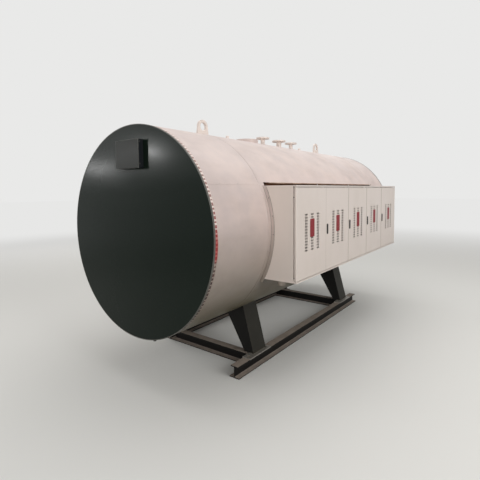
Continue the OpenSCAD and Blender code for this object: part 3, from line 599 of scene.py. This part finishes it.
# Ring seams: a flat joggled band over each joint of the casing courses, riveted
seamBand = {"width": 16 * mm, "thick": 0.5 * mm, "rivetCount": 84, "rivetFirst": 0.02,
            "rivetSize": (4 * mm, 4 * mm, 1.4 * mm)}
for label, y in (("front", seamFrontY), ("rear", seamRearY)):
    band = runTree(f"ring_seam_{label}", bentBand, {
        "Radius": drumR + seamBand["thick"] / 2, "Along": y, "First": 0.0, "Sweep": openTurn,
        "Width": seamBand["width"], "Thick": seamBand["thick"], "Material": casingWhite})
    rivets = runTree(f"ring_rivets_{label}", domeRing, {
        "Radius": drumR + seamBand["thick"], "Along": y, "Count": seamBand["rivetCount"],
        "First": seamBand["rivetFirst"], "Sweep": fullTurn * (1 - 1 / seamBand["rivetCount"]),
        "Size": seamBand["rivetSize"], "Unevenness": 0.0, "Seed": 1, "Material": casingWhite})
    fit(band, "boiler")
    fit(rivets, "boiler")

# Long seams: the lap of each course, just above the cabinet's roof, on both sides of the drum
lap = {"aboveRoof": 12 * mm, "wide": 14 * mm, "thick": 0.8 * mm, "sunk": 0.3 * mm, "frontGap": 30 * mm,
       "rearGap": 12 * mm, "pitch": 100 * mm, "firstRivet": 30 * mm, "bareEnds": 40 * mm, "headR": 2.4 * mm,
       "headHigh": 1.8 * mm, "headOut": 0.3}
lapAngle = math.asin((roofZ + lap["aboveRoof"] - axisZ) / drumR)
lapSides = {"right": lapAngle, "left": math.pi - lapAngle}
courses = {"front": (frontY + lap["frontGap"], seamFrontY), "middle": (seamFrontY, seamRearY),
           "rear": (seamRearY, rearY - lap["rearGap"])}
halfLap = lap["wide"] / 2 / drumR
bm = bmesh.new()
rivetSpots = {"right": [], "left": []}
for side, angle in lapSides.items():
    for course, (y0, y1) in courses.items():
        if (side, course) == ("right", "middle"):
            continue  # the open joint above the roof is here
        outline = [(angle - halfLap, drumR - lap["sunk"]), (angle - halfLap, drumR + lap["thick"]),
                   (angle + halfLap, drumR + lap["thick"]), (angle + halfLap, drumR - lap["sunk"])]
        prism(bm, [[onDrum(a, r, y) for a, r in outline] for y in (y0, y1)])
        count = int((y1 - y0 - lap["bareEnds"]) / lap["pitch"]) + 1
        rivetSpots[side] += [onDrum(angle, drumR + lap["thick"] + lap["headHigh"] * lap["headOut"],
                                    y0 + lap["firstRivet"] + k * lap["pitch"]) for k in range(count)]
fit(fromMesh("lap_seams", bm, casingWhite), "boiler")
for side, angle in lapSides.items():
    outward = (math.cos(angle), 0, math.sin(angle))
    fit(headsAt(f"lap_rivets_{side}", rivetSpots[side], outward, lap, casingWhite), "boiler")
print("seams made")

# Screws on the curved strips, and dark sealant beads along both edges of the strips, which are painted shade lines
stripTrim = {"thick": 4 * mm, "first": -2, "last": 18, "count": 3, "out": 10 * mm, "headR": 3.5 * mm,
             "headHigh": 1.6 * mm}
stripShadeLine = {"radius": 1.8 * mm, "step": 10 * mm, "wobble": 0.7, "sides": 6, "first": -29.5, "sweep": 55,
              "parts": 60, "footOut": 11 * mm, "edge": 18.5 * mm, "edgeBack": 3 * mm}
stripFaces = {"front": (panelFrontY - stripTrim["thick"], -1), "rear": (panelRearY + stripTrim["thick"], 1)}
screwStep = (stripTrim["last"] - stripTrim["first"]) / (stripTrim["count"] - 1)
screwAngles = [math.radians(stripTrim["first"] + screwStep * k) for k in range(stripTrim["count"])]
shadeLineAngles = [math.radians(stripShadeLine["first"] + stripShadeLine["sweep"] * k / stripShadeLine["parts"])
               for k in range(stripShadeLine["parts"] + 1)]
for label, (faceY, way) in stripFaces.items():
    spots = [onDrum(a, drumR + stripTrim["out"], faceY + way * stripTrim["headHigh"] / 2) for a in screwAngles]
    fit(headsAt(f"strip_screws_{label}", spots, (0, way, 0), stripTrim, screwSteel), "boiler")
    footY = faceY + way * stripShadeLine["footOut"]
    edgeY = faceY - way * stripShadeLine["edgeBack"]
    fit(runTree(f"strip_caulk_{label}", beadPath, {
        "Radius": stripShadeLine["radius"], "Step": stripShadeLine["step"], "Wobble": stripShadeLine["wobble"],
        "Sides": stripShadeLine["sides"], "Material": shadeLinePaint},
        chain(([onDrum(a, drumR, footY) for a in shadeLineAngles], False),
              ([onDrum(a, drumR + stripShadeLine["edge"], edgeY) for a in shadeLineAngles], False))),
        "boiler")

# Stained lagging fills the upper half of the joint above the roof, held by small clips; heights
# are above the roof, and the lagging's lower edge is ragged: waves per metre, offset and share
lagging = {"front": 105 * mm, "rear": 14 * mm, "bottom": 20.5 * mm, "top": 26.5 * mm, "setBack": 1.5 * mm,
           "thick": 22 * mm, "step": 18 * mm, "raggedness": 1.1 * mm,
           "waves": ((23, 0, 1), (61, 1, 0.6), (131, 2, 0.5))}
clips = {"places": (0.98, 1.81), "wide": 12 * mm, "bottom": 1 * mm, "top": lagging["bottom"] + 1 * mm,
         "setBack": 3 * mm, "thick": 3 * mm}


def raggedEdge(y):
    wobble = sum(share * math.sin(y * waves + offset) for waves, offset, share in lagging["waves"])
    return lagging["bottom"] + lagging["raggedness"] * wobble


def straightEdge(y):
    return clips["bottom"]


def jointFill(bm, y0, y1, bottomAt, fill, step):
    # a bar behind the casing's face, in the joint, its lower edge at bottomAt(y) above the roof
    count = max(1, round((y1 - y0) / step))
    sections = []
    for k in range(count + 1):
        y = y0 + (y1 - y0) * k / count
        low, high, thick = bottomAt(y), fill["top"], fill["thick"]
        section = []
        for up, back in ((low, 0), (high, 0), (high, thick), (low, thick)):
            faceX = axisX + math.sqrt(drumR ** 2 - (roofZ + up - axisZ) ** 2) - fill["setBack"]
            section.append((faceX - back, y, roofZ + up))
        sections.append(section)
    prism(bm, sections)


bm = bmesh.new()
jointFill(bm, panelFrontY + lagging["front"], panelRearY - lagging["rear"], raggedEdge, lagging, lagging["step"])
fit(fromMesh("joint_lagging", bm, laggingCloth), "boiler")
bm = bmesh.new()
for along in clips["places"]:
    start = panelFrontY + along
    jointFill(bm, start, start + clips["wide"], straightEdge, clips, clips["wide"])
fit(fromMesh("joint_clips", bm, casingWhite), "boiler")

# Two screws in the control box's side
boxTrim = {"headR": 4.5 * mm, "headHigh": 2 * mm, "sideBack": 2 * mm, "back": 15 * mm, "down": 20 * mm,
           "up": 32 * mm}
headX = boxHigh.x - boxTrim["sideBack"] + boxTrim["headHigh"] / 2
spots = [(headX, boxLow.y + boxTrim["back"], z) for z in (boxHigh.z - boxTrim["down"], boxLow.z + boxTrim["up"])]
fit(headsAt("box_screws", spots, (1, 0, 0), boxTrim, screwSteel), "boiler")

# Three dark dowel screws in the joint between the first leaf and the end panel
dowel = {"headR": 3.6 * mm, "headHigh": 3 * mm, "sunk": 1 * mm, "behind": 24 * mm, "belowRoof": (13 * mm, 92 * mm),
         "aboveFloor": (38 * mm,)}
heights = [roofZ - drop for drop in dowel["belowRoof"]] + [cabFloorZ + rise for rise in dowel["aboveFloor"]]
spots = [(leafFaceX - dowel["behind"], panelFrontY - dowel["headHigh"] / 2 + dowel["sunk"], z) for z in heights]
fit(headsAt("corner_screws", spots, (0, -1, 0), dowel, lockPlastic), "boiler")
print("screws made")


def boxMesh(bm, low, high):
    square = ((low[1], low[2]), (high[1], low[2]), (high[1], high[2]), (low[1], high[2]))
    prism(bm, [[(x, y, z) for y, z in square] for x in (low[0], high[0])])


# A rubber lip on each leaf's free edge closes most of the gap to the leaf beside it
lip = {"reach": 4.2 * mm, "overlap": 0.2 * mm, "behind": 0.3 * mm, "deep": 12 * mm, "endGap": 2 * mm}
for i in range(2, 6):
    low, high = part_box(f"door_{i}")
    lipX = leafFaceX - lip["behind"]
    bm = bmesh.new()
    boxMesh(bm, (lipX - lip["deep"], low.y - lip["reach"], low.z + lip["endGap"]),
            (lipX, low.y + lip["overlap"], high.z - lip["endGap"]))
    fit(fromMesh(f"door_{i}_edge_lip", bm, sealRubber), f"door_{i}")


def roundedPlate(bm, yLow, yHigh, zLow, zHigh, xBack, xFront, corner, steps):
    outline = []
    for cy, cz, quarter in ((yHigh - corner, zHigh - corner, 0), (yLow + corner, zHigh - corner, 1),
                            (yLow + corner, zLow + corner, 2), (yHigh - corner, zLow + corner, 3)):
        for i in range(steps + 1):
            angle = (quarter + i / steps) * math.pi / 2
            outline.append((cy + corner * math.cos(angle), cz + corner * math.sin(angle)))
    prism(bm, [[(x, y, z) for y, z in outline] for x in (xFront, xBack)])


# A plain red film patch on each leaf
patch = {"width": 78 * mm, "top": 1.318, "bottom": 1.172, "lift": 0.05 * mm, "thick": 0.4 * mm, "corner": 4 * mm,
         "cornerSteps": 5}
for i in range(1, 6):
    low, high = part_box(f"door_{i}")
    middle = (low.y + high.y) / 2
    bm = bmesh.new()
    roundedPlate(bm, middle - patch["width"] / 2, middle + patch["width"] / 2, patch["bottom"], patch["top"],
                 leafFaceX + patch["lift"], leafFaceX + patch["thick"], patch["corner"], patch["cornerSteps"])
    fit(fromMesh(f"door_{i}_patch", bm, patchRed), f"door_{i}")
print("leaf trim made")

# A small dark catch on the front rim, low on the drum, narrower at its top
catch = {"angle": -75, "wide": 30 * mm, "taper": 0.7, "high": 8 * mm, "sunk": 1 * mm, "start": 1 * mm,
         "long": 9 * mm}
middle = math.radians(catch["angle"])
half = catch["wide"] / 2 / rimR
outline = [(middle - half, rimR - catch["sunk"]), (middle - half * catch["taper"], rimR + catch["high"]),
           (middle + half * catch["taper"], rimR + catch["high"]), (middle + half, rimR - catch["sunk"])]
bm = bmesh.new()
prism(bm, [[onDrum(a, r, y) for a, r in outline]
           for y in (frontY + catch["start"], frontY + catch["start"] + catch["long"])])
fit(fromMesh("rim_catch", bm, lockPlastic), "boiler")

# Weld beads where the feet stand on their plates, and collars where pieces pass the casing
weld = {"footR": 4 * mm, "footWobble": 0.75, "footReach": 40 * mm, "collarR": 4.5 * mm, "collarWobble": 0.85,
        "step": 6 * mm, "sides": 8, "margin": 1 * mm,
        "neckR": {"front": 25 * mm, "middle": 31 * mm, "rear": 25 * mm}, "neckTurns": 40, "couplingTurns": 24}
footLines = []
for end in ("front", "rear"):
    for side in ("left", "right"):
        low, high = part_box(f"leg_{end}_{side}")
        runnerLow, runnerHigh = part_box(f"runner_{side}")
        middle = (runnerLow.x + runnerHigh.x) / 2
        outer, out = (high.x, 1) if middle > axisX else (low.x, -1)
        inner = middle - out * weld["footReach"]
        footLines.append(([(inner, low.y, low.z), (outer, low.y, low.z), (outer, high.y, low.z),
                           (inner, high.y, low.z)], False))
fit(runTree("foot_welds", beadPath, {
    "Radius": weld["footR"], "Step": weld["step"], "Wobble": weld["footWobble"], "Sides": weld["sides"],
    "Material": legPaint}, chain(*footLines)), "boiler")


def neckLine(middleY, radius, turns):
    # where an upright tube of that radius meets the drum
    line = []
    for k in range(turns):
        angle = fullTurn * k / turns
        x = radius * math.cos(angle)
        line.append((axisX + x, middleY + radius * math.sin(angle), axisZ + math.sqrt(drumR ** 2 - x ** 2)))
    return line


collars = []
for label, radius in weld["neckR"].items():
    low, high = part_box(f"nozzle_{label}")
    collars.append((neckLine((low.y + high.y) / 2, radius, weld["neckTurns"]), True))
low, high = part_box("couplings")
couplingR = (high.x - low.x) / 2
for y in (low.y + couplingR, high.y - couplingR):
    collars.append((neckLine(y, couplingR + weld["margin"], weld["couplingTurns"]), True))
for end in ("front", "rear"):
    low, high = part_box(f"lug_{end}")
    half = (high.x - low.x) / 2 + weld["margin"]
    z = axisZ + math.sqrt(drumR ** 2 - half ** 2)
    collars.append(([(axisX - half, low.y, z), (axisX + half, low.y, z), (axisX + half, high.y, z),
                     (axisX - half, high.y, z)], True))
fit(runTree("casing_collars", beadPath, {
    "Radius": weld["collarR"], "Step": weld["step"], "Wobble": weld["collarWobble"], "Sides": weld["sides"],
    "Material": casingWhite}, chain(*collars)), "boiler")
print("welds made")

# The camera at the photo's viewpoint, its turns in radians
camera = {"place": (2.2613, -3.6380, 1.55), "yaw": 0.6537, "pitch": 0.0615, "roll": -0.0089, "sensor": 36,
          "lens": 27.807, "shiftX": 0.00208, "shiftY": -0.05625}
cameraData = bpy.data.cameras.new("camera")
cameraData.sensor_width = camera["sensor"]
cameraData.lens = camera["lens"]
cameraData.shift_x = camera["shiftX"]
cameraData.shift_y = camera["shiftY"]
cameraObject = bpy.data.objects.new("camera", cameraData)
cameraObject.matrix_world = (
    Matrix.Translation(camera["place"]) @ Matrix.Rotation(camera["yaw"], 4, "Z")
    @ Matrix.Rotation(math.pi / 2 - camera["pitch"], 4, "X") @ Matrix.Rotation(camera["roll"], 4, "Z"))
scene.collection.objects.link(cameraObject)
scene.camera = cameraObject


def softbox(name, place, aim, size, power):
    light = bpy.data.lights.new(name, "AREA")
    light.shape = "RECTANGLE"
    light.size, light.size_y = size
    light.energy = power
    lamp = bpy.data.objects.new(name, light)
    lamp.location = place
    lamp.rotation_euler = (Vector(aim) - Vector(place)).to_track_quat("-Z", "Y").to_euler()
    lamp.visible_camera = False
    scene.collection.objects.link(lamp)


# Each lamp: its place, the point it aims at, its width and height, and its watts. The two small
# ones give the front plate its soft glints beside the control box.
lamps = {
    "overhead": ((0.5, 0.6, 7), (0, 0.2, 1), (7, 9), 268),
    "side": ((8, -1.5, 3.8), (0, 0, 1.2), (5, 5), 303),
    "front": ((3.2, -8.3, 1.8), (0.6, -1, 1.0), (4, 2.4), 183),
    "left": ((-8, 1.5, 4.5), (0, 0, 1.2), (5, 5), 120),
    "strip": ((-3.0, -5.6, 2.6), (-0.3, -1.9, 1.9), (6, 1.4), 22),
    "rear": ((-2.5, 8.5, 3.4), (0, 1.9, 1.3), (5, 4), 35),
    "glintLeft": ((-4.65, -4.5, 2.02), (-0.5, -1.9, 1.75), (0.45, 0.14), 5.4),
    "glintRight": ((-3.1, -4.5, 2.26), (0.1, -1.9, 1.82), (0.24, 0.16), 8)}
for name, (place, aim, size, power) in lamps.items():
    softbox(name, place, aim, size, power)


def shownToCamera(tree):
    # 1 for what the camera sees straight, in a reflection or through glass
    path = addNode(tree, "ShaderNodeLightPath")
    straight, mirrored, through = (path.outputs[f"Is {ray} Ray"] for ray in ("Camera", "Glossy", "Transmission"))
    seen = addNode(tree, "ShaderNodeMath", links={0: straight, 1: mirrored}, operation="MAXIMUM")
    return addNode(tree, "ShaderNodeMath", links={0: seen.outputs[0], 1: through}, operation="MAXIMUM").outputs[0]


# The floor looks pale but bounces little light; far from the object it fades into the backdrop,
# and near it, it keeps its shadow
stage = {"floorSeen": "#dcdcd9", "floorLit": "#2e302d", "roughness": 0.9, "gloss": 0.1, "half": 60,
         "below": 0.5 * mm, "fadeFrom": 3.5, "fadeTo": 13, "fadeMost": 0.97, "worldSeen": "#e9e9e8",
         "worldTint": "#fffaf4", "worldLit": 0.34}
floorMaterial, tree, shader, place = newMaterial("studio floor")
shader.inputs["Roughness"].default_value = stage["roughness"]
shader.inputs["Specular IOR Level"].default_value = stage["gloss"]
seen = shownToCamera(tree)
tone = addNode(tree, "ShaderNodeMix", tones(stage["floorLit"], stage["floorSeen"]), {0: seen}, data_type="RGBA")
tree.links.new(tone.outputs[2], shader.inputs["Base Color"])
far = addNode(tree, "ShaderNodeVectorMath", links={0: place}, operation="LENGTH")
fade = addNode(tree, "ShaderNodeMapRange", span(stage["fadeFrom"], stage["fadeTo"], 0, stage["fadeMost"]),
               {0: far.outputs["Value"]}, interpolation_type="SMOOTHSTEP")
gone = addNode(tree, "ShaderNodeMath", links={0: fade.outputs[0], 1: seen}, operation="MULTIPLY")
glow = addNode(tree, "ShaderNodeEmission", {"Color": linear(stage["worldSeen"]), "Strength": 1})
blend = addNode(tree, "ShaderNodeMixShader", links={0: gone.outputs[0], 1: shader.outputs[0], 2: glow.outputs[0]})
output = next(node for node in tree.nodes if node.type == "OUTPUT_MATERIAL")
tree.links.new(blend.outputs[0], output.inputs["Surface"])
bm = bmesh.new()
bmesh.ops.create_grid(bm, x_segments=1, y_segments=1, size=stage["half"])
floor = fromMesh("floor", bm, floorMaterial)
floor.location.z = -stage["below"]

world = bpy.data.worlds.new("studio world")
scene.world = world
world.use_nodes = True
tree = world.node_tree
tree.nodes.clear()
lit = addNode(tree, "ShaderNodeBackground", {"Color": linear(stage["worldTint"]), "Strength": stage["worldLit"]})
shown = addNode(tree, "ShaderNodeBackground", {"Color": linear(stage["worldSeen"]), "Strength": 1})
seen = shownToCamera(tree)
mixed = addNode(tree, "ShaderNodeMixShader", links={0: seen, 1: lit.outputs[0], 2: shown.outputs[0]})
addNode(tree, "ShaderNodeOutputWorld", links={0: mixed.outputs[0]})
print("stage set")
